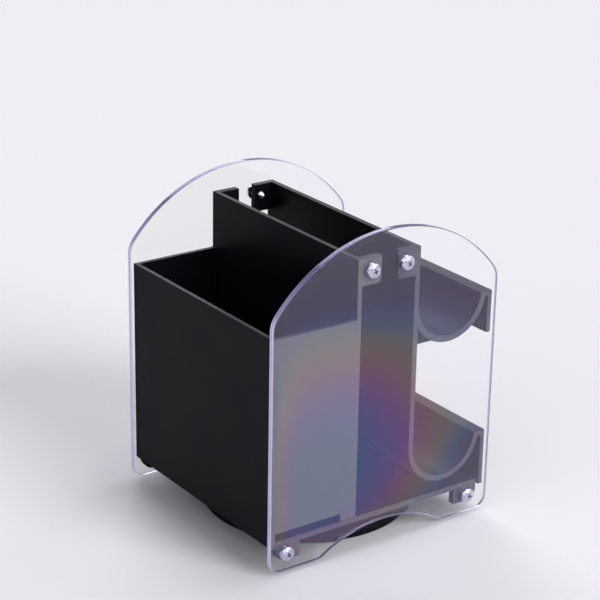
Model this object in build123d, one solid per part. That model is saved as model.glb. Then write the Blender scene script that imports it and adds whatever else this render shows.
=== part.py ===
from build123d import *
from math import sqrt
import os

# Revolving pen holder: three black mouldings held between two clear side panels, on a turntable disc.
# Millimetres. X runs from panel to panel, the memo bin faces -Y, Z is up.
# The origin is on the desk, on the axis that the holder turns about.

# Mouldings in common
body_width = 95.0
base_underside_z = 12.1
base_thickness = 2.3
skirt_drop = 0.65
pen_wall_top_z = 118.0
assembly_gap = 0.1

# Memo bin at the front
pivot_to_front = 50.85
bin_depth = 38.85
bin_front_wall = 1.8
bin_side_wall = 2.0
bin_rear_wall = 2.0
bin_floor = 2.0
bin_floor_lift = 3.1
bin_top_z = 94.8
bin_corner_radius = 1.2
bin_foot_length = 7.4

# Pen space between the two tall walls
pen_gap = 24.55

# Rear trays
tray_wall = 2.3
trough_radius = 15.15
trough_rim_drop = 1.1
upper_trough_wall = 2.6
upper_lip_z = 93.4
lower_lip_z = 34.9
lip_width = 5.5
lip_thickness = 2.0
apron_thickness = 1.9
upper_apron_height = 17.2
gusset_thickness = 2.0
gusset_inset = 2.0
gusset_bottom_drop = 15.6
foot_rib_thickness = 2.4
foot_rib_spacing = 58.0
foot_rib_length = 20.0

# Tongues that locate the bin and the trays in slots of the base
tongue_length = 12.0
tongue_thickness = 1.6
tongue_depth = 1.9
tongue_clearance = 0.12
bin_tongue_spacing = 54.0

# Screw tabs
tab_thickness = 3.0
bin_tab_reach = 8.7
tray_tab_reach = 8.1
bin_tab_height = 10.6
tray_tab_height = 11.3
top_tab_radius = 1.8
base_tab_length = 11.0
base_tab_drop = 6.3
base_tab_radius = 4.6

# Screw places, from the piece that each one bites into
top_screw_below_rim = 4.5
bin_screw_from_wall = 3.4
tray_screw_from_wall = 5.5
base_screw_below = 2.7
base_front_screw_inset = 3.9
base_rear_screw_inset = 5.8

# Panel screws
screw_head_diameter = 6.0
screw_head_height = 2.1
screw_shank_diameter = 2.9
screw_length = 8.0
screw_fit = 0.03
panel_hole_diameter = 3.3

# Base plate
base_rear_gap = 1.3
base_rib_height = 2.0
base_rib_thickness = 1.4
base_rib_count = 8
base_rib_reach = 33.0

# Side panels
panel_thickness = 2.5
panel_bottom_z = 2.0
panel_crown_rise = 10.0
panel_top_radius = 64.0
panel_front_overhang = 1.15
panel_rear_overhang = 1.35
panel_shoulder_radius = 9.0
panel_corner_radius = 5.0
panel_edge_chamfer = 0.3
notch_width = 58.0
notch_height = 8.4
notch_corner_radius = 4.0

# Turntable disc
disc_radius = 41.4
disc_skin = 1.8
disc_rim_lift = 0.6
disc_rim_wall = 2.2
disc_edge_chamfer = 0.7
disc_rib_thickness = 1.4
hub_radius = 11.5

# Swivel bearing
glide_ring_thickness = 0.8
hub_top_z = 8.6
boss_radius = 10.5
spigot_radius = 5.5
spigot_running_gap = 0.05
ring_seat_gap = 0.2
spigot_play = 0.25
washer_thickness = 1.2
washer_radius = 9.0
washer_recess_gap = 0.5
swivel_screw_radius = 2.0
swivel_head_radius = 3.8
swivel_head_height = 1.5
swivel_head_chamfer = 0.75
swivel_screw_length = 8.5
screw_bore_relief = 0.5

# Anti-slip pads
pad_radius = 5.0
pad_thickness = 1.8
pad_circle_radius = 31.0
pad_count = 4

# Worked out from the sizes above
half_body = body_width / 2
panel_crown_z = pen_wall_top_z + panel_crown_rise
base_top_z = base_underside_z + base_thickness
skirt_z = base_underside_z - skirt_drop
front_y = -pivot_to_front
bin_rear_y = front_y + bin_depth
tray_front_y = bin_rear_y + pen_gap
tray_wall_rear_y = tray_front_y + tray_wall
trough_y = tray_wall_rear_y + trough_radius
trough_end_y = trough_y + trough_radius
rear_y = trough_end_y + lip_width
upper_trough_z = upper_lip_z + trough_rim_drop
lower_trough_z = lower_lip_z + trough_rim_drop
base_front_y = front_y + bin_front_wall + assembly_gap
base_rear_y = rear_y - apron_thickness - base_rear_gap
bin_floor_z = base_top_z + bin_floor_lift
disc_top_z = pad_thickness + disc_skin
ring_top_z = hub_top_z + glide_ring_thickness
top_screw_z = pen_wall_top_z - top_screw_below_rim
base_screw_z = base_underside_z - base_screw_below
screw_places = [
    (bin_rear_y + bin_screw_from_wall, top_screw_z),
    (tray_front_y - tray_screw_from_wall, top_screw_z),
    (base_front_y + base_front_screw_inset, base_screw_z),
    (base_rear_y - base_rear_screw_inset, base_screw_z),
]
tab_hole_radius = screw_shank_diameter / 2 + screw_fit
washer_top_z = disc_rim_lift + swivel_head_height + washer_thickness


def slab(y0, y1, z0, z1):
    """A rectangle in the Y-Z section."""
    return Pos((y0 + y1) / 2, (z0 + z1) / 2) * Rectangle(abs(y1 - y0), abs(z1 - z0))


def along_x(section, x0, x1):
    """A Y-Z section drawn out along X."""
    return extrude(Plane.YZ.offset(x0) * section, amount=x1 - x0)


def block(x0, x1, y0, y1, z0, z1):
    return along_x(slab(y0, y1, z0, z1), x0, x1)


def both_ends(section, inset, thickness):
    """The same section at both ends of the body, set in by inset from each end."""
    outer = half_body - inset
    inner = outer - thickness
    return [along_x(section, inner, outer), along_x(section, -outer, -inner)]


def screw_bores(piece, radius):
    """Bores along X for the panel screws, cut where the piece has a tab."""
    for y, z in screw_places:
        bore = Pos(0, y, z) * Rot(0, 90, 0) * Cylinder(radius, body_width + 4 * panel_thickness)
        piece -= bore
    return piece


def rounded(section, y, z, radius):
    """Rounds the corner of a section that lies nearest to the given point."""
    corner = section.vertices().sort_by_distance((y, z, 0))[0]
    return fillet(corner, radius)


def save(name, piece):
    export_step(piece, f"parts/{name}.step")


def tongue_row(y, spacing, length_along_x, gap):
    """Two tongues down into the base, or, grown by a gap, the slots that take them."""
    half_length = (tongue_length if length_along_x else tongue_thickness) / 2 + gap
    half_width = (tongue_thickness if length_along_x else tongue_length) / 2 + gap
    depth = base_thickness if gap else tongue_depth
    pieces = []
    for x in (-spacing / 2, spacing / 2):
        pieces.append(
            block(
                x - half_length, x + half_length, y - half_width, y + half_width,
                base_top_z - depth, base_top_z,
            )
        )
    return pieces


def make_memo_bin():
    """Open-topped bin whose rear wall runs up as the front wall of the pen space."""
    wall_y = bin_rear_y - bin_rear_wall
    outside = block(-half_body, half_body, front_y, bin_rear_y, bin_floor_z, bin_top_z)
    cavity_plan = Pos(0, (front_y + bin_front_wall + wall_y) / 2) * RectangleRounded(
        body_width - 2 * bin_side_wall, wall_y - front_y - bin_front_wall, bin_corner_radius
    )
    cavity = extrude(Plane.XY.offset(bin_floor_z + bin_floor) * cavity_plan, amount=bin_top_z)
    piece = outside - cavity
    piece += block(-half_body, half_body, front_y, front_y + bin_front_wall, skirt_z, bin_floor_z)
    piece += block(-half_body, half_body, wall_y, bin_rear_y, base_top_z, pen_wall_top_z)
    foot = slab(bin_rear_y - bin_foot_length, bin_rear_y, base_top_z, bin_floor_z)
    for leg in both_ends(foot, 0, bin_side_wall):
        piece += leg
    tab = slab(bin_rear_y, bin_rear_y + bin_tab_reach, pen_wall_top_z - bin_tab_height, pen_wall_top_z)
    tab = rounded(tab, bin_rear_y + bin_tab_reach, pen_wall_top_z - bin_tab_height, top_tab_radius)
    for ear in both_ends(tab, 0, tab_thickness):
        piece += ear
    for tongue in tongue_row(bin_rear_y - bin_rear_wall / 2, bin_tongue_spacing, True, 0):
        piece += tongue
    return screw_bores(piece, tab_hole_radius)


def trough_section(centre_z, lip_z, wall, apron_bottom_z):
    """Half-round trough with a flat lip and an apron that hangs down behind it."""
    centre = Pos(trough_y, centre_z)
    ribbon = centre * Circle(trough_radius + wall) - centre * Circle(trough_radius)
    ribbon -= slab(tray_front_y - wall, rear_y + wall, centre_z, centre_z + 2 * trough_radius)
    ribbon -= slab(trough_y, rear_y + wall, lip_z, centre_z + wall)
    lip = slab(trough_end_y - lip_thickness, rear_y, lip_z - lip_thickness, lip_z)
    lip -= centre * Circle(trough_radius)
    apron = slab(rear_y - apron_thickness, rear_y, apron_bottom_z, lip_z)
    return ribbon + lip + apron


def make_rear_trays():
    """Tall rear wall of the pen space, which curls at its foot into the lower trough."""
    wall = slab(tray_front_y, tray_wall_rear_y, lower_trough_z, pen_wall_top_z)
    lower = trough_section(lower_trough_z, lower_lip_z, tray_wall, skirt_z)
    upper = trough_section(
        upper_trough_z, upper_lip_z, upper_trough_wall, upper_lip_z - upper_apron_height
    )
    upper -= slab(tray_front_y - upper_trough_wall, tray_front_y, lower_trough_z, pen_wall_top_z)
    piece = along_x(wall + upper + lower, -half_body, half_body)

    gusset = slab(
        tray_wall_rear_y, trough_y, upper_lip_z - gusset_bottom_drop, upper_trough_z
    ) - Pos(trough_y, upper_trough_z) * Circle(trough_radius + upper_trough_wall / 2)
    for rib in both_ends(gusset, gusset_inset, gusset_thickness):
        piece += rib

    tab_bottom = pen_wall_top_z - tray_tab_height
    tab = slab(tray_front_y - tray_tab_reach, tray_front_y, tab_bottom, pen_wall_top_z)
    tab = rounded(tab, tray_front_y - tray_tab_reach, tab_bottom, top_tab_radius)
    for ear in both_ends(tab, 0, tab_thickness):
        piece += ear

    half_foot = foot_rib_length / 2
    foot = slab(trough_y - half_foot, trough_y + half_foot, base_top_z, lower_trough_z)
    foot -= Pos(trough_y, lower_trough_z) * Circle(trough_radius + tray_wall / 2)
    for side in (-1, 1):
        x = side * foot_rib_spacing / 2
        piece += along_x(foot, x - foot_rib_thickness / 2, x + foot_rib_thickness / 2)
    for tongue in tongue_row(trough_y, foot_rib_spacing, False, 0):
        piece += tongue
    return screw_bores(piece, tab_hole_radius)


def make_base_plate():
    """Floor of the holder, with four hanging screw tabs and the boss and spigot of the swivel."""
    piece = block(-half_body, half_body, base_front_y, base_rear_y, base_underside_z, base_top_z)
    tab_z = base_underside_z - base_tab_drop
    front_tab = slab(base_front_y, base_front_y + base_tab_length, tab_z, base_top_z)
    front_tab = rounded(front_tab, base_front_y, tab_z, base_tab_radius)
    rear_tab = slab(base_rear_y - base_tab_length, base_rear_y, tab_z, base_top_z)
    rear_tab = rounded(rear_tab, base_rear_y, tab_z, base_tab_radius)
    for tab in both_ends(front_tab, 0, tab_thickness) + both_ends(rear_tab, 0, tab_thickness):
        piece += tab
    rib_z = base_underside_z - base_rib_height
    for turn in range(base_rib_count):
        half_rib = base_rib_thickness / 2
        rib = block(0, base_rib_reach, -half_rib, half_rib, rib_z, base_underside_z)
        piece += Rot(0, 0, 360 * turn / base_rib_count) * rib
    boss_foot = Plane.XY.offset(ring_top_z)
    spigot_foot = Plane.XY.offset(washer_top_z)
    piece += extrude(boss_foot * Circle(boss_radius), amount=base_underside_z - ring_top_z)
    piece += extrude(spigot_foot * Circle(spigot_radius), amount=base_underside_z - washer_top_z)
    bore_depth = swivel_screw_length - washer_thickness + screw_bore_relief
    piece -= extrude(spigot_foot * Circle(swivel_screw_radius + screw_fit), amount=bore_depth)
    for slot in tongue_row(bin_rear_y - bin_rear_wall / 2, bin_tongue_spacing, True, tongue_clearance):
        piece -= slot
    for slot in tongue_row(trough_y, foot_rib_spacing, False, tongue_clearance):
        piece -= slot
    return screw_bores(piece, tab_hole_radius)


def make_side_panel(side):
    """Clear panel with an arched top, rounded corners and an arched notch in its foot."""
    front = front_y - panel_front_overhang
    rear = rear_y + panel_rear_overhang
    middle = (front + rear) / 2
    crown_centre_z = panel_crown_z - panel_top_radius
    half_depth = (rear - front) / 2
    shoulder_z = crown_centre_z + sqrt(panel_top_radius**2 - half_depth**2)
    notch_radius = (notch_width**2 / 4 + notch_height**2) / (2 * notch_height)
    section = slab(front, rear, panel_bottom_z, panel_crown_z)
    top_arc = Pos(middle, crown_centre_z) * Circle(panel_top_radius)
    below_arc = slab(front, rear, panel_bottom_z, crown_centre_z)
    section = section & (top_arc + below_arc)
    section -= Pos(middle, panel_bottom_z + notch_height - notch_radius) * Circle(notch_radius)
    for y in (front, rear):
        section = rounded(section, y, shoulder_z, panel_shoulder_radius)
        section = rounded(section, y, panel_bottom_z, panel_corner_radius)
    for y in (middle - notch_width / 2, middle + notch_width / 2):
        section = rounded(section, y, panel_bottom_z, notch_corner_radius)
    inner = half_body if side > 0 else -half_body - panel_thickness
    piece = along_x(section, inner, inner + panel_thickness)
    rims = [piece.faces().sort_by(Axis.X)[index].outer_wire().edges() for index in (0, -1)]
    piece = chamfer(rims[0] + rims[1], panel_edge_chamfer)
    return screw_bores(piece, panel_hole_diameter / 2)


def make_panel_screw():
    """Screw along +X, its head seated at x = 0 and its shank running to -X."""
    head = extrude(Plane.YZ * Circle(screw_head_diameter / 2), amount=screw_head_height)
    return head + extrude(Plane.YZ * Circle(screw_shank_diameter / 2), amount=-screw_length)


def make_panel_screws():
    screws = []
    for side in (-1, 1):
        for y, z in screw_places:
            turned = Rot(0, 0, 0 if side > 0 else 180) * make_panel_screw()
            screws.append(Pos(side * (half_body + panel_thickness), y, z) * turned)
    return Compound(children=screws)


def make_turntable_disc():
    """Moulded disc with a raised hub for the holder's boss, hollow below, with a rib between pads."""
    foot = Plane.XY.offset(disc_rim_lift)
    hollow = Circle(disc_radius - disc_rim_wall) - Circle(hub_radius)
    piece = extrude(foot * Circle(disc_radius), amount=disc_top_z - disc_rim_lift)
    piece = chamfer(piece.edges().sort_by(Axis.Z)[-1], disc_edge_chamfer)
    piece -= extrude(hollow, amount=pad_thickness)
    piece += extrude(foot * Circle(hub_radius), amount=hub_top_z - disc_rim_lift)
    for turn in range(pad_count):
        rib = block(
            hub_radius - disc_skin / 2, disc_radius - disc_rim_wall / 2,
            -disc_rib_thickness / 2, disc_rib_thickness / 2,
            disc_rim_lift, disc_top_z - disc_skin / 2,
        )
        piece += Rot(0, 0, 360 * turn / pad_count) * rib
    piece -= extrude(Circle(spigot_radius + spigot_running_gap), amount=hub_top_z)
    recess_top_z = washer_top_z + spigot_play
    piece -= extrude(Circle(washer_radius + washer_recess_gap), amount=recess_top_z)
    return piece


def make_glide_ring():
    """Slippery flat ring between the disc's hub and the boss of the base."""
    ring = Circle(boss_radius) - Circle(spigot_radius + ring_seat_gap)
    return extrude(Plane.XY.offset(hub_top_z) * ring, amount=glide_ring_thickness)


def make_swivel_washer():
    ring = Circle(washer_radius) - Circle(swivel_screw_radius + screw_fit)
    return extrude(Plane.XY.offset(washer_top_z - washer_thickness) * ring, amount=washer_thickness)


def make_swivel_screw():
    seat = Plane.XY.offset(washer_top_z - washer_thickness)
    head = extrude(seat * Circle(swivel_head_radius), amount=-swivel_head_height)
    head = chamfer(head.edges().sort_by(Axis.Z)[0], swivel_head_chamfer)
    return head + extrude(seat * Circle(swivel_screw_radius), amount=swivel_screw_length)


def make_foot_pads():
    """Pads stuck to the ceiling of the disc's hollow, which they stand proud of on the desk."""
    pads = []
    for turn in range(pad_count):
        pad = extrude(Circle(pad_radius), amount=pad_thickness)
        pads.append(Rot(0, 0, 360 * (turn + 0.5) / pad_count) * (Pos(pad_circle_radius, 0, 0) * pad))
    return Compound(children=pads)


os.makedirs("parts", exist_ok=True)
save("memo_bin", make_memo_bin())
save("rear_trays", make_rear_trays())
save("base_plate", make_base_plate())
save("left_panel", make_side_panel(-1))
save("right_panel", make_side_panel(1))
save("panel_screws", make_panel_screws())
save("turntable_disc", make_turntable_disc())
save("glide_ring", make_glide_ring())
save("swivel_washer", make_swivel_washer())
save("swivel_screw", make_swivel_screw())
save("foot_pads", make_foot_pads())
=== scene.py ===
from math import cos, radians, sin

import bmesh
import bpy
from mathutils import Matrix, Vector


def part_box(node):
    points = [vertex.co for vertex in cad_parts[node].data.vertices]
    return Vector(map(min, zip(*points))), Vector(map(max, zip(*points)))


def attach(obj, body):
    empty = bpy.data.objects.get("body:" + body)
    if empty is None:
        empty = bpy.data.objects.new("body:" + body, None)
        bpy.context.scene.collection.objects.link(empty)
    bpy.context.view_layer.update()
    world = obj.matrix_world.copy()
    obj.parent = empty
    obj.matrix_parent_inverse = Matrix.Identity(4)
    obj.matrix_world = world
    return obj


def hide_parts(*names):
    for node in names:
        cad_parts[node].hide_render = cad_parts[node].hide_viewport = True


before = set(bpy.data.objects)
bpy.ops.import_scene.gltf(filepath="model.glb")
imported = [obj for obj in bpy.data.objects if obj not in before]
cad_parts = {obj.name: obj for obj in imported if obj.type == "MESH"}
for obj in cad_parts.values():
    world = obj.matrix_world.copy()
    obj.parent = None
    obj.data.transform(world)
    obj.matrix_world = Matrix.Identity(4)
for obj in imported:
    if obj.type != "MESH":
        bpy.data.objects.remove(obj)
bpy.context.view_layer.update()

mm = 0.001

# Turntable disc
# Round plate that lies on the desk and carries the whole holder, with the hub of the swivel in its middle.
# Moulded in black polystyrene with a satin skin, hollow below, its edge rounded by the mould.


def linear(hex_colour):
    """An sRGB hex colour as linear red, green, blue and 1."""
    parts = [int(hex_colour[place:place + 2], 16) / 255 for place in (1, 3, 5)]
    return tuple(
        part / 12.92 if part <= 0.04045 else ((part + 0.055) / 1.055) ** 2.4 for part in parts
    ) + (1.0,)


def add_node(material, kind, settings=None, links=None):
    """Adds a node, sets its sockets or properties, and links its inputs from other nodes' outputs."""
    node = material.node_tree.nodes.new(kind)
    for name, value in (settings or {}).items():
        if isinstance(name, int) or name in node.inputs:
            node.inputs[name].default_value = value
        else:
            setattr(node, name, value)
    for name, output in (links or {}).items():
        material.node_tree.links.new(output, node.inputs[name])
    return node


def new_material(name):
    material = bpy.data.materials.new(name)
    material.use_nodes = True
    material.node_tree.nodes.clear()
    return material


def moulded_black(name, painted_end_light="#131317", grain_mm=0.3):
    """Black polystyrene as the mould leaves it: satin, with a fine spark-eroded grain and flow clouds.
    Faces that look up are painted paler, a painted light from above, and the ends against the clear panels
    are painted in a paler tone, a painted light of the side lamps."""
    material = new_material(name)
    place = add_node(material, "ShaderNodeTexCoord")
    millimetres = add_node(
        material, "ShaderNodeMapping", {"Scale": (1000, 1000, 1000)}, {"Vector": place.outputs["Object"]}
    )
    clouds = add_node(
        material, "ShaderNodeTexNoise", {"Scale": 1 / 24, "Detail": 3.0, "Roughness": 0.55},
        {"Vector": millimetres.outputs[0]},
    )
    grain = add_node(
        material, "ShaderNodeTexNoise", {"Scale": 1 / grain_mm, "Detail": 2.0},
        {"Vector": millimetres.outputs[0]},
    )
    tone = add_node(
        material, "ShaderNodeMix", {"data_type": "RGBA", "A": linear("#0A0A0D"), "B": linear("#121118")},
    )
    material.node_tree.links.new(clouds.outputs["Fac"], tone.inputs["Factor"])
    sheen = add_node(
        material, "ShaderNodeMapRange", {"From Min": 0.3, "From Max": 0.7, "To Min": 0.36, "To Max": 0.48},
        {"Value": clouds.outputs["Fac"]},
    )
    relief = add_node(
        material, "ShaderNodeBump", {"Strength": 0.06, "Distance": 0.01 * mm},
        {"Height": grain.outputs["Fac"]},
    )
    # Painted light from above: the more a face looks up, the paler it is painted
    leaning = add_node(material, "ShaderNodeSeparateXYZ", links={0: place.outputs["Normal"]})
    upward = add_node(
        material, "ShaderNodeMapRange", {"From Min": 0.3, "From Max": 1.0}, {"Value": leaning.outputs["Z"]}
    )
    painted_top_light = add_node(
        material, "ShaderNodeMix", {"data_type": "RGBA", "B": linear("#24232A")},
        {"A": tone.outputs["Result"], "Factor": upward.outputs[0]},
    )
    # Painted light of the side lamps: the ends against the clear panels are painted in a paler tone
    across = add_node(material, "ShaderNodeSeparateXYZ", links={0: place.outputs["Object"]})
    reach = add_node(
        material, "ShaderNodeMath", {"operation": "ABSOLUTE"}, {0: across.outputs["X"]}
    )
    panel_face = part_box("right_panel")[0].x
    end_light_mask = add_node(
        material, "ShaderNodeMapRange",
        {"From Min": panel_face - 0.14 * mm, "From Max": panel_face - 0.06 * mm},
        {"Value": reach.outputs[0]},
    )
    tone_and_painted_light = add_node(
        material, "ShaderNodeMix", {"data_type": "RGBA", "B": linear(painted_end_light)},
        {"A": painted_top_light.outputs["Result"], "Factor": end_light_mask.outputs[0]},
    )
    surface = add_node(
        material, "ShaderNodeBsdfPrincipled", {"IOR": 1.45, "Specular IOR Level": 0.06},
        {"Base Color": tone_and_painted_light.outputs["Result"], "Roughness": sheen.outputs[0], "Normal": relief.outputs[0]},
    )
    add_node(material, "ShaderNodeOutputMaterial", links={"Surface": surface.outputs[0]})
    return material


def softened_copy(node_name, piece_name, edge_radius, steps, air=0.0):
    """A copy of a CAD node, its seams merged and its sharp edges rounded as the real piece's are.
    It can be a little narrower, which leaves a film of air between its ends and the clear panels."""
    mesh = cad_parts[node_name].data.copy()
    mesh.name = piece_name
    mesh.materials.clear()
    piece = bpy.data.objects.new(piece_name, mesh)
    bpy.context.scene.collection.objects.link(piece)
    bpy.ops.object.select_all(action="DESELECT")
    piece.select_set(True)
    bpy.context.view_layer.objects.active = piece
    bpy.ops.mesh.customdata_custom_splitnormals_clear()
    bpy.ops.object.mode_set(mode="EDIT")
    bpy.ops.mesh.select_all(action="SELECT")
    bpy.ops.mesh.remove_doubles(threshold=0.001 * mm)
    bpy.ops.mesh.dissolve_limited(angle_limit=radians(0.5))
    bpy.ops.transform.resize(value=(1 - 2 * air / piece.dimensions.x, 1, 1), center_override=(0, 0, 0))
    bpy.ops.object.mode_set(mode="OBJECT")
    bpy.ops.object.modifier_add(type="BEVEL")
    rounding = piece.modifiers[-1]
    rounding.width = edge_radius
    rounding.segments = steps
    rounding.limit_method = "ANGLE"
    rounding.angle_limit = radians(32)
    rounding.use_clamp_overlap = False
    bpy.ops.object.modifier_apply(modifier=rounding.name)
    bpy.ops.object.shade_smooth_by_angle(angle=radians(32))
    bpy.ops.object.modifier_add(type="WEIGHTED_NORMAL")
    flats = piece.modifiers[-1]
    flats.keep_sharp = True
    flats.weight = 100
    bpy.ops.object.modifier_apply(modifier=flats.name)
    return piece


def dress(piece, material, body, slot_name, *nodes):
    """Gives a finished piece its material and its body, and hides the CAD nodes that it stands for. The
    slot name is not used.
    """
    if material.name not in piece.data.materials:
        piece.data.materials.append(material)
    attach(piece, body)
    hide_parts(*nodes)


disc = softened_copy("turntable_disc", "turntable", 0.15 * mm, 2)
dress(disc, moulded_black("polystyrene, moulded, disc"), "turntable", "black_moulding", "turntable_disc")


# Anti-slip pads
# Four round pads cut from soft black rubber sheet and glued to the ceiling of the disc's hollow, out of
# which they stand a little. Their matt, slightly dusty face is what grips the desk.


def cut_rubber(name):
    """Sheet rubber: matt, with a fine crumb and a little dust in it."""
    material = new_material(name)
    place = add_node(material, "ShaderNodeTexCoord")
    crumb = add_node(
        material, "ShaderNodeTexNoise", {"Scale": 1 / (0.4 * mm), "Detail": 4.0},
        {"Vector": place.outputs["Object"]},
    )
    tone = add_node(
        material, "ShaderNodeMix", {"data_type": "RGBA", "A": linear("#17171A"), "B": linear("#35343A")}
    )
    material.node_tree.links.new(crumb.outputs["Fac"], tone.inputs["Factor"])
    relief = add_node(
        material, "ShaderNodeBump", {"Strength": 0.5, "Distance": 0.05 * mm},
        {"Height": crumb.outputs["Fac"]},
    )
    surface = add_node(
        material, "ShaderNodeBsdfPrincipled", {"Roughness": 0.85, "IOR": 1.52},
        {"Base Color": tone.outputs["Result"], "Normal": relief.outputs[0]},
    )
    add_node(material, "ShaderNodeOutputMaterial", links={"Surface": surface.outputs[0]})
    return material


pads = softened_copy("foot_pads", "anti_slip_pads", 0.15 * mm, 2)
dress(pads, cut_rubber("rubber, cut sheet"), "turntable", "rubber_pad", "foot_pads")


# Glide ring
# Flat white nylon ring between the disc's hub and the boss of the base, so that the swivel turns smoothly.
# Punched from sheet, it lies loose round the spigot.


def punched_nylon(name):
    """Natural nylon sheet: milky, a little see-through at its edge, faintly mottled."""
    material = new_material(name)
    place = add_node(material, "ShaderNodeTexCoord")
    mottle = add_node(
        material, "ShaderNodeTexNoise", {"Scale": 1 / (2.5 * mm), "Detail": 2.0},
        {"Vector": place.outputs["Object"]},
    )
    tone = add_node(
        material, "ShaderNodeMix", {"data_type": "RGBA", "A": linear("#DAD8D0"), "B": linear("#ECEAE4")}
    )
    material.node_tree.links.new(mottle.outputs["Fac"], tone.inputs["Factor"])
    surface = add_node(
        material, "ShaderNodeBsdfPrincipled",
        {"Roughness": 0.45, "IOR": 1.53, "Subsurface Weight": 0.25, "Subsurface Scale": 1 * mm},
        {"Base Color": tone.outputs["Result"]},
    )
    add_node(material, "ShaderNodeOutputMaterial", links={"Surface": surface.outputs[0]})
    return material


ring = softened_copy("glide_ring", "nylon_glide_ring", 0.08 * mm, 2)
dress(ring, punched_nylon("nylon, punched sheet"), "turntable", "white_nylon", "glide_ring")


# Base plate
# Floor of the holder: a flat black moulding with four hanging screw tabs, and below it the boss and spigot
# of the swivel with stiffening ribs round them. Screws through its tabs hold the foot of both clear panels.
base = softened_copy("base_plate", "base", 0.15 * mm, 2, air=0.02 * mm)
# Its ends against the panels are painted this paler grey, a painted light of the side lamps
base_black = moulded_black("polystyrene, moulded, base", painted_end_light="#5E5E66")
dress(base, base_black, "holder", "black_moulding", "base_plate")


# Swivel washer and screw
# A punched steel washer, wider than the spigot, that keeps the disc on it, and the pan-head screw that
# holds it. Both are bright zinc plated, and only a look from below shows them.


def plated_steel(name, bright, dull, roughness):
    """Steel with a bright plated skin: a metal whose tone and polish wander a little."""
    material = new_material(name)
    place = add_node(material, "ShaderNodeTexCoord")
    patches = add_node(
        material, "ShaderNodeTexNoise", {"Scale": 1 / (1.2 * mm), "Detail": 3.0},
        {"Vector": place.outputs["Object"]},
    )
    tone = add_node(
        material, "ShaderNodeMix", {"data_type": "RGBA", "A": linear(dull), "B": linear(bright)}
    )
    material.node_tree.links.new(patches.outputs["Fac"], tone.inputs["Factor"])
    polish = add_node(
        material, "ShaderNodeMapRange",
        {"From Min": 0.3, "From Max": 0.7, "To Min": roughness * 1.3, "To Max": roughness * 0.8},
        {"Value": patches.outputs["Fac"]},
    )
    surface = add_node(
        material, "ShaderNodeBsdfPrincipled", {"Metallic": 1.0},
        {"Base Color": tone.outputs["Result"], "Roughness": polish.outputs[0]},
    )
    add_node(material, "ShaderNodeOutputMaterial", links={"Surface": surface.outputs[0]})
    return material


def cross_head_screw(name, head_radius, head_height, crown, shank_radius, length, plating, recess):
    """Pan-head screw with a cross recess and rolled threads. Its seat is at z = 0 and its head above it.
    The recess is painted darker, a painted shade."""
    bpy.ops.object.select_all(action="DESELECT")
    bpy.ops.mesh.primitive_cylinder_add(
        vertices=48, radius=head_radius, depth=head_height, location=(0, 0, head_height / 2)
    )
    screw = bpy.context.object
    screw.name = name
    screw.data.name = name
    screw.data.materials.append(plating)
    bpy.ops.object.transform_apply(location=True, rotation=True, scale=True)
    bpy.ops.object.mode_set(mode="EDIT")
    bpy.ops.mesh.select_mode(type="EDGE")
    bpy.ops.mesh.select_all(action="DESELECT")
    form = bmesh.from_edit_mesh(screw.data)
    for edge in form.edges:
        if all(vert.co.z > 0.99 * head_height for vert in edge.verts):
            edge.select = True
    bmesh.update_edit_mesh(screw.data)
    bpy.ops.mesh.bevel(offset=crown, segments=8, profile=0.55, affect="EDGES")

    # The seat is drawn in to the shank, which is then run out ring by ring to its threads
    bpy.ops.mesh.select_mode(type="FACE")
    bpy.ops.mesh.select_all(action="DESELECT")
    form = bmesh.from_edit_mesh(screw.data)
    for face in form.faces:
        face.select = face.normal.z < -0.99 and face.calc_center_median().z < 0.001 * mm
    bmesh.update_edit_mesh(screw.data)
    root = 0.8
    pitch = 0.9 * mm
    bpy.ops.mesh.inset(thickness=head_radius - shank_radius)
    run = 0.0
    while run + pitch < length - 1.2 * mm:
        for share, scale in ((0.25, 1.0), (0.25, root), (0.25, 1.0), (0.25, 1 / root)):
            bpy.ops.mesh.extrude_region_move(TRANSFORM_OT_translate={"value": (0, 0, -pitch * share)})
            bpy.ops.transform.resize(value=(scale, scale, 1))
        run += pitch
    bpy.ops.mesh.extrude_region_move(TRANSFORM_OT_translate={"value": (0, 0, run - length)})
    bpy.ops.transform.resize(value=(0.3, 0.3, 1))
    bpy.ops.object.mode_set(mode="OBJECT")

    # The cross recess: two tapered blades pressed into the crown
    blades = []
    for turn in (0, 90):
        bpy.ops.object.select_all(action="DESELECT")
        bpy.ops.mesh.primitive_cube_add(size=1)
        blade = bpy.context.object
        # The recess faces take a darker steel, a painted shade
        blade.data.materials.append(recess)
        blade.scale = (head_radius * 1.1, head_radius * 0.22, head_height * 1.2)
        blade.rotation_euler = (0, 0, radians(turn + 20))
        bpy.ops.object.transform_apply(location=True, rotation=True, scale=True)
        bpy.ops.object.mode_set(mode="EDIT")
        bpy.ops.mesh.select_mode(type="FACE")
        bpy.ops.mesh.select_all(action="DESELECT")
        form = bmesh.from_edit_mesh(blade.data)
        for face in form.faces:
            face.select = face.normal.z < -0.99
        bmesh.update_edit_mesh(blade.data)
        bpy.ops.transform.resize(value=(0.35, 0.35, 1))
        bpy.ops.object.mode_set(mode="OBJECT")
        blade.location = (0, 0, head_height * 0.98)
        bpy.ops.object.transform_apply(location=True, rotation=True, scale=True)
        blades.append(blade)
    for blade in blades:
        bpy.ops.object.select_all(action="DESELECT")
        screw.select_set(True)
        bpy.context.view_layer.objects.active = screw
        bpy.ops.object.modifier_add(type="BOOLEAN")
        press = screw.modifiers[-1]
        press.operation = "DIFFERENCE"
        press.object = blade
        press.material_mode = "TRANSFER"
        bpy.ops.object.modifier_apply(modifier=press.name)
        bpy.data.objects.remove(blade)
    bpy.ops.object.shade_smooth_by_angle(angle=radians(35))
    return screw


zinc = plated_steel("steel, zinc plated", "#D9D8DE", "#A9A8B2", 0.28)
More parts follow.
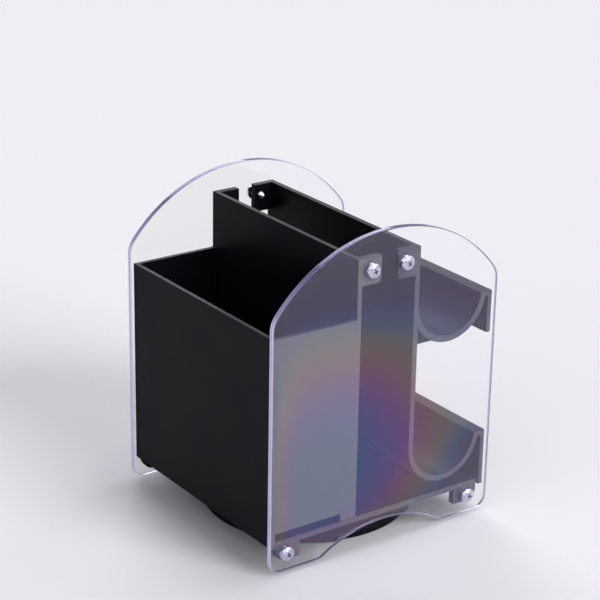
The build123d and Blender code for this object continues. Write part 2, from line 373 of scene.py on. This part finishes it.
# A darker steel for the cross recess, a painted shade
recess_painted_shade = plated_steel("steel, plated, painted recess shade", "#6B6A66", "#45443F", 0.4)
washer = softened_copy("swivel_washer", "retaining_washer", 0.1 * mm, 2)
dress(washer, zinc, "holder", "bright_screw", "swivel_washer")

swivel_low, swivel_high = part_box("swivel_screw")
washer_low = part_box("swivel_washer")[0]
swivel_head_height = washer_low.z - swivel_low.z
swivel_screw = cross_head_screw(
    "swivel_screw_steel", (swivel_high.x - swivel_low.x) / 2, swivel_head_height,
    0.5 * swivel_head_height, 2.0 * mm, swivel_high.z - washer_low.z, zinc, recess_painted_shade,
)
swivel_screw.rotation_euler = (radians(180), 0, 0)
swivel_screw.location = (0, 0, washer_low.z)
bpy.ops.object.transform_apply(location=True, rotation=True, scale=True)
dress(swivel_screw, zinc, "holder", "bright_screw", "swivel_screw")


# Memo bin
# Open-topped bin of the holder's front, with the front wall of the pen space as its tall rear wall.
# One black moulding, screwed between the panels through two tabs and keyed into the base by two tongues.
memo_bin = softened_copy("memo_bin", "bin", 0.2 * mm, 2, air=0.02 * mm)
# Its ends against the panels are painted this paler grey, a painted light of the side lamps
bin_black = moulded_black("polystyrene, moulded, bin", painted_end_light="#706E72")
dress(memo_bin, bin_black, "holder", "black_moulding", "memo_bin")


# Rear trays
# The tall rear wall of the pen space, which curls at its foot into the lower clip trough, and the upper
# trough that branches from it. One black moulding, fixed as the bin is.
trays = softened_copy("rear_trays", "trays", 0.2 * mm, 2, air=0.02 * mm)
# Its ends against the panels are painted this paler grey, a painted light of the side lamps
trays_black = moulded_black("polystyrene, moulded, trays", painted_end_light="#5E5E66")
dress(trays, trays_black, "holder", "black_moulding", "rear_trays")


# Side panels
# Two clear panels with an arched top, cut from 2.5 mm cast acrylic and polished on the edge, which shows
# lavender where one looks along the sheet and carries a painted glow and painted highlights. A thin film on
# them splits the light into faint rainbow bands.


def clear_acrylic(name, inner_face, outer_face):
    """Clear cast sheet, faintly lavender along its length. A dried film on its outer face, thickest low
    down behind the front edge, mirrors each colour where its thickness suits it."""
    material = new_material(name)
    place = add_node(material, "ShaderNodeTexCoord")
    split = add_node(material, "ShaderNodeSeparateXYZ", links={0: place.outputs["Object"]})

    # At its thickest it wanders a little, as a liquid dries: 378 to 394 nanometres
    drift = add_node(
        material, "ShaderNodeTexNoise", {"Scale": 1 / (30 * mm), "Detail": 1.0},
        {"Vector": place.outputs["Object"]},
    )
    film = add_node(
        material, "ShaderNodeMapRange", {"To Min": 378.0, "To Max": 394.0}, {"Value": drift.outputs["Fac"]}
    )

    # It thins out towards its own border, slowly at first: (1 - (way / reach) squared) to the power of
    # 0.35. The loop gives each way's start and reach in millimetres. Low down the border draws in from
    # the rear.
    below = add_node(
        material, "ShaderNodeMath", {"operation": "SUBTRACT", "use_clamp": True, 0: 42 * mm},
        {1: split.outputs["Z"]},
    )
    rearward = add_node(
        material, "ShaderNodeMath", {"operation": "MULTIPLY_ADD", 1: 0.75},
        {0: below.outputs[0], 2: split.outputs["Y"]},
    )
    for height, sense, start, reach in (
        (split.outputs["Y"], -1, -17.0, 60.0), (split.outputs["Y"], -1, -40.0, 12.6),
        (rearward.outputs[0], 1, -61.5, 121.5), (split.outputs["Z"], 1, 18.4, 91.0),
    ):
        way = add_node(
            material, "ShaderNodeMath",
            {"operation": "MULTIPLY_ADD", 1: sense * 1000 / reach, 2: -sense * start / reach}, {0: height},
        )
        beyond = add_node(
            material, "ShaderNodeMath", {"operation": "MAXIMUM", 1: 0.0}, {0: way.outputs[0]}
        )
        squared = add_node(
            material, "ShaderNodeMath", {"operation": "MULTIPLY"},
            {0: beyond.outputs[0], 1: beyond.outputs[0]},
        )
        left_over = add_node(
            material, "ShaderNodeMath", {"operation": "SUBTRACT", "use_clamp": True, 0: 1.0},
            {1: squared.outputs[0]},
        )
        share = add_node(
            material, "ShaderNodeMath", {"operation": "POWER", 1: 0.35}, {0: left_over.outputs[0]}
        )
        film = add_node(
            material, "ShaderNodeMath", {"operation": "MULTIPLY"}, {0: film.outputs[0], 1: share.outputs[0]}
        )

    # It lies on the outer face alone
    depth = add_node(material, "ShaderNodeMath", {"operation": "ABSOLUTE"}, {0: split.outputs["X"]})
    outside = add_node(
        material, "ShaderNodeMath", {"operation": "GREATER_THAN", 1: outer_face - 0.05 * mm},
        {0: depth.outputs[0]},
    )
    coating = add_node(
        material, "ShaderNodeMath", {"operation": "MULTIPLY"}, {0: film.outputs[0], 1: outside.outputs[0]}
    )

    # Painted light on the edge: it glows though it is no lamp, most where it faces the front, and there it
    # is painted violet in the middle with a painted near-white highlight along its corners, elsewhere a
    # deeper violet
    within = add_node(
        material, "ShaderNodeMath", {"operation": "GREATER_THAN", 1: inner_face + 0.05 * mm},
        {0: depth.outputs[0]},
    )
    on_edge = add_node(
        material, "ShaderNodeMath", {"operation": "SUBTRACT", "use_clamp": True},
        {0: within.outputs[0], 1: outside.outputs[0]},
    )
    facing = add_node(material, "ShaderNodeSeparateXYZ", links={0: place.outputs["Normal"]})
    forward = add_node(
        material, "ShaderNodeMapRange", {"From Min": -0.5, "From Max": -0.95},
        {"Value": facing.outputs["Y"]},
    )
    painted_glow_by_facing = add_node(
        material, "ShaderNodeMath", {"operation": "MULTIPLY_ADD", 1: 0.5, 2: 0.2}, {0: forward.outputs[0]}
    )
    painted_glow_share = add_node(
        material, "ShaderNodeMath", {"operation": "MULTIPLY"},
        {0: on_edge.outputs[0], 1: painted_glow_by_facing.outputs[0]},
    )
    from_middle = add_node(
        material, "ShaderNodeMath", {"operation": "SUBTRACT", 1: (inner_face + outer_face) / 2},
        {0: depth.outputs[0]},
    )
    to_corner = add_node(material, "ShaderNodeMath", {"operation": "ABSOLUTE"}, {0: from_middle.outputs[0]})
    corner = add_node(
        material, "ShaderNodeMapRange", {"From Min": 0.25 * mm, "From Max": 0.8 * mm},
        {"Value": to_corner.outputs[0]},
    )
    painted_corner_highlight = add_node(
        material, "ShaderNodeMix", {"data_type": "RGBA", "A": linear("#C4BAEC"), "B": linear("#EFEBFC")}
    )
    material.node_tree.links.new(corner.outputs[0], painted_corner_highlight.inputs["Factor"])
    painted_edge_light = add_node(
        material, "ShaderNodeMix", {"data_type": "RGBA", "A": linear("#9E96CE")},
        {"Factor": forward.outputs[0], "B": painted_corner_highlight.outputs["Result"]},
    )
    tint = add_node(
        material, "ShaderNodeMix", {"data_type": "RGBA", "A": (1, 1, 1, 1)},
        {"Factor": on_edge.outputs[0], "B": painted_edge_light.outputs["Result"]},
    )
    # The painted glow: an emission on the edge, though the sheet is no lamp
    painted_edge_glow = add_node(
        material, "ShaderNodeMath", {"operation": "MULTIPLY", 1: 0.3}, {0: painted_glow_share.outputs[0]}
    )
    blur = add_node(material, "ShaderNodeMath", {"operation": "MULTIPLY", 1: 0.12}, {0: on_edge.outputs[0]})

    # Its outer face carries a faint haze
    hazed = add_node(
        material, "ShaderNodeMath", {"operation": "MULTIPLY_ADD", 1: -0.025, 2: 1.0},
        {0: outside.outputs[0]},
    )
    passing = add_node(
        material, "ShaderNodeMath", {"operation": "SUBTRACT"},
        {0: hazed.outputs[0], 1: painted_glow_share.outputs[0]},
    )

    # Where the film is thin, and close to the foot, its index nears that of the sheet and its colours fade
    at_foot = add_node(
        material, "ShaderNodeMapRange",
        {"From Min": 8 * mm, "From Max": 18 * mm, "To Min": 1.53, "To Max": 1.81},
        {"Value": split.outputs["Z"]},
    )
    index = add_node(
        material, "ShaderNodeMapRange", {"From Min": 150.0, "From Max": 335.0, "To Min": 1.5},
        {"Value": coating.outputs[0], "To Max": at_foot.outputs[0]},
    )
    surface = add_node(
        material, "ShaderNodeBsdfPrincipled",
        {"IOR": 1.49, "Specular Tint": linear("#CFC0FF"), "Transmission Weight": 1.0},
        {
            "Base Color": tint.outputs["Result"], "Roughness": blur.outputs[0],
            "Transmission Weight": passing.outputs[0], "Emission Color": painted_edge_light.outputs["Result"],
            "Emission Strength": painted_edge_glow.outputs[0], "Thin Film Thickness": coating.outputs[0],
            "Thin Film IOR": index.outputs[0],
        },
    )
    sheet = add_node(
        material, "ShaderNodeVolumeAbsorption", {"Color": linear("#BFB2EE"), "Density": 12.0}
    )
    add_node(
        material, "ShaderNodeOutputMaterial",
        links={"Surface": surface.outputs[0], "Volume": sheet.outputs[0]},
    )
    return material


panel_inner_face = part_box("right_panel")[0].x
panel_outer_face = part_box("right_panel")[1].x
acrylic = clear_acrylic("acrylic, cast sheet, polished edge", panel_inner_face, panel_outer_face)
for side in ("left", "right"):
    panel = softened_copy(f"{side}_panel", f"{side}_clear_panel", 0.1 * mm, 2)
    dress(panel, acrylic, "holder", "clear_panel", f"{side}_panel")


# Panel screws
# Eight equal pan-head screws, four a side, through the clear panels into the tabs of the mouldings.
# Steel, bright chrome plated, with rolled threads and a cross recess.
chrome = plated_steel("steel, chrome plated", "#FAF9FF", "#7D76B0", 0.06)
screw_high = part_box("panel_screws")[1]
head_height = screw_high.x - panel_outer_face
head_radius = 3.0 * mm
screw_length = 8.0 * mm
rims = []
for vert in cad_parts["panel_screws"].data.vertices:
    if vert.co.x > screw_high.x - 0.01 * mm:
        same = [rim for rim in rims if (rim[0] - vert.co).length < 2.1 * head_radius]
        if same:
            same[0].append(vert.co)
        else:
            rims.append([vert.co])
screw_places = []
for rim in rims:
    ys = [point.y for point in rim]
    zs = [point.z for point in rim]
    screw_places.append(((min(ys) + max(ys)) / 2, (min(zs) + max(zs)) / 2))
screw_places.sort(key=lambda place: (round(place[1], 4), place[0]))
for side in (-1, 1):
    for number, (y, z) in enumerate(screw_places):
        screw = cross_head_screw(
            f"panel_screw_{'left' if side < 0 else 'right'}_{number + 1}",
            head_radius, head_height, 1.8 * mm, 1.45 * mm, screw_length, chrome, recess_painted_shade,
        )
        screw.rotation_euler = (0, 0, radians(37 * number + 11 * side))
        bpy.ops.object.transform_apply(location=True, rotation=True, scale=True)
        screw.rotation_euler = (0, side * radians(90), 0)
        screw.location = (side * panel_outer_face, y, z)
        bpy.ops.object.transform_apply(location=True, rotation=True, scale=True)
        dress(screw, chrome, "holder", "bright_screw", "panel_screws")


# Studio
# A pale seamless floor, broad lamps low on both sides and at the rear, weaker ones above and in front, and
# a dim pale room.
bpy.ops.object.select_all(action="DESELECT")
bpy.ops.mesh.primitive_plane_add(size=12)
floor = bpy.context.object
floor.name = "floor"
backdrop = "#F1EFF5"
paper = new_material("backdrop paper")
paper_surface = add_node(
    paper, "ShaderNodeBsdfPrincipled",
    {"Base Color": linear("#EDECEF"), "Roughness": 0.9, "Specular IOR Level": 0.0},
)
add_node(paper, "ShaderNodeOutputMaterial", links={"Surface": paper_surface.outputs[0]})
floor.data.materials.append(paper)

for lamp_name, energy, spread, lamp_from in (
    ("lamp_right", 2.2, 34, Vector((1.0, 0.28, 0.6))), ("lamp_left", 1.4, 40, Vector((-1.0, 0.35, 0.6))),
    ("lamp_rear", 0.4, 40, Vector((0.0, 1.0, 0.8))), ("lamp_above", 0.35, 20, Vector((0.1, 0.4, 2.0))),
    ("lamp_front", 0.6, 60, Vector((0.5, -1.0, 0.9))),
):
    lamp_data = bpy.data.lights.new(lamp_name, "SUN")
    lamp_data.energy = energy
    lamp_data.angle = radians(spread)
    lamp = bpy.data.objects.new(lamp_name, lamp_data)
    bpy.context.scene.collection.objects.link(lamp)
    lamp.rotation_mode = "QUATERNION"
    lamp.rotation_quaternion = (-lamp_from).to_track_quat("-Z", "Y")

world = bpy.data.worlds.new("studio")
bpy.context.scene.world = world
world.use_nodes = True
world.node_tree.nodes.clear()
way_out = add_node(world, "ShaderNodeTexCoord")
towards = add_node(
    world, "ShaderNodeVectorMath", {"operation": "DOT_PRODUCT", 1: Vector((0.75, 0.5, 0.43)).normalized()},
    {0: way_out.outputs["Generated"]},
)
room = add_node(
    world, "ShaderNodeMapRange", {"From Min": -1.0, "To Min": 0.11, "To Max": 0.22},
    {"Value": towards.outputs["Value"]},
)
mirrored = add_node(
    world, "ShaderNodeMapRange", {"From Min": -0.6, "From Max": 0.5, "To Min": 0.15},
    {"Value": towards.outputs["Value"]},
)
lit = add_node(world, "ShaderNodeBackground", {"Color": linear("#EAE5FA")}, {"Strength": room.outputs[0]})
reflected = add_node(
    world, "ShaderNodeBackground", {"Color": linear(backdrop)}, {"Strength": mirrored.outputs[0]}
)
shown = add_node(world, "ShaderNodeBackground", {"Color": linear(backdrop), "Strength": 1.0})
path = add_node(world, "ShaderNodeLightPath")
with_gloss = add_node(
    world, "ShaderNodeMixShader",
    links={0: path.outputs["Is Glossy Ray"], 1: lit.outputs[0], 2: reflected.outputs[0]},
)
seen = add_node(
    world, "ShaderNodeMath", {"operation": "MAXIMUM"},
    {0: path.outputs["Is Camera Ray"], 1: path.outputs["Is Transmission Ray"]},
)
both = add_node(
    world, "ShaderNodeMixShader", links={0: seen.outputs[0], 1: with_gloss.outputs[0], 2: shown.outputs[0]}
)
add_node(world, "ShaderNodeOutputWorld", links={"Surface": both.outputs[0]})


# Camera
# It stands at the photograph's place: in front, to the right and a little above.
azimuth, elevation, roll = radians(54.149), radians(21.056), radians(1.03)
distance, off_right, off_up = 763.555 * mm, -3.346 * mm, 22.468 * mm
aim = Vector((0, 0, 60 * mm))
focal_pixels, image_pixels = 1944.705, 600
back = Vector((sin(azimuth) * cos(elevation), -cos(azimuth) * cos(elevation), sin(elevation)))
right = Vector((cos(azimuth), sin(azimuth), 0))
up = back.cross(right)
rolled_right = cos(roll) * right + sin(roll) * up
rolled_up = cos(roll) * up - sin(roll) * right
camera_data = bpy.data.cameras.new("camera")
camera_data.sensor_width = 36
camera_data.lens = camera_data.sensor_width * focal_pixels / image_pixels
camera_data.clip_start = 0.01
camera = bpy.data.objects.new("camera", camera_data)
bpy.context.scene.collection.objects.link(camera)
camera.matrix_world = Matrix.Translation(
    aim + off_right * rolled_right + off_up * rolled_up + distance * back
) @ Matrix((rolled_right, rolled_up, back)).transposed().to_4x4()
bpy.context.scene.camera = camera
bpy.context.scene.view_settings.view_transform = "Standard"
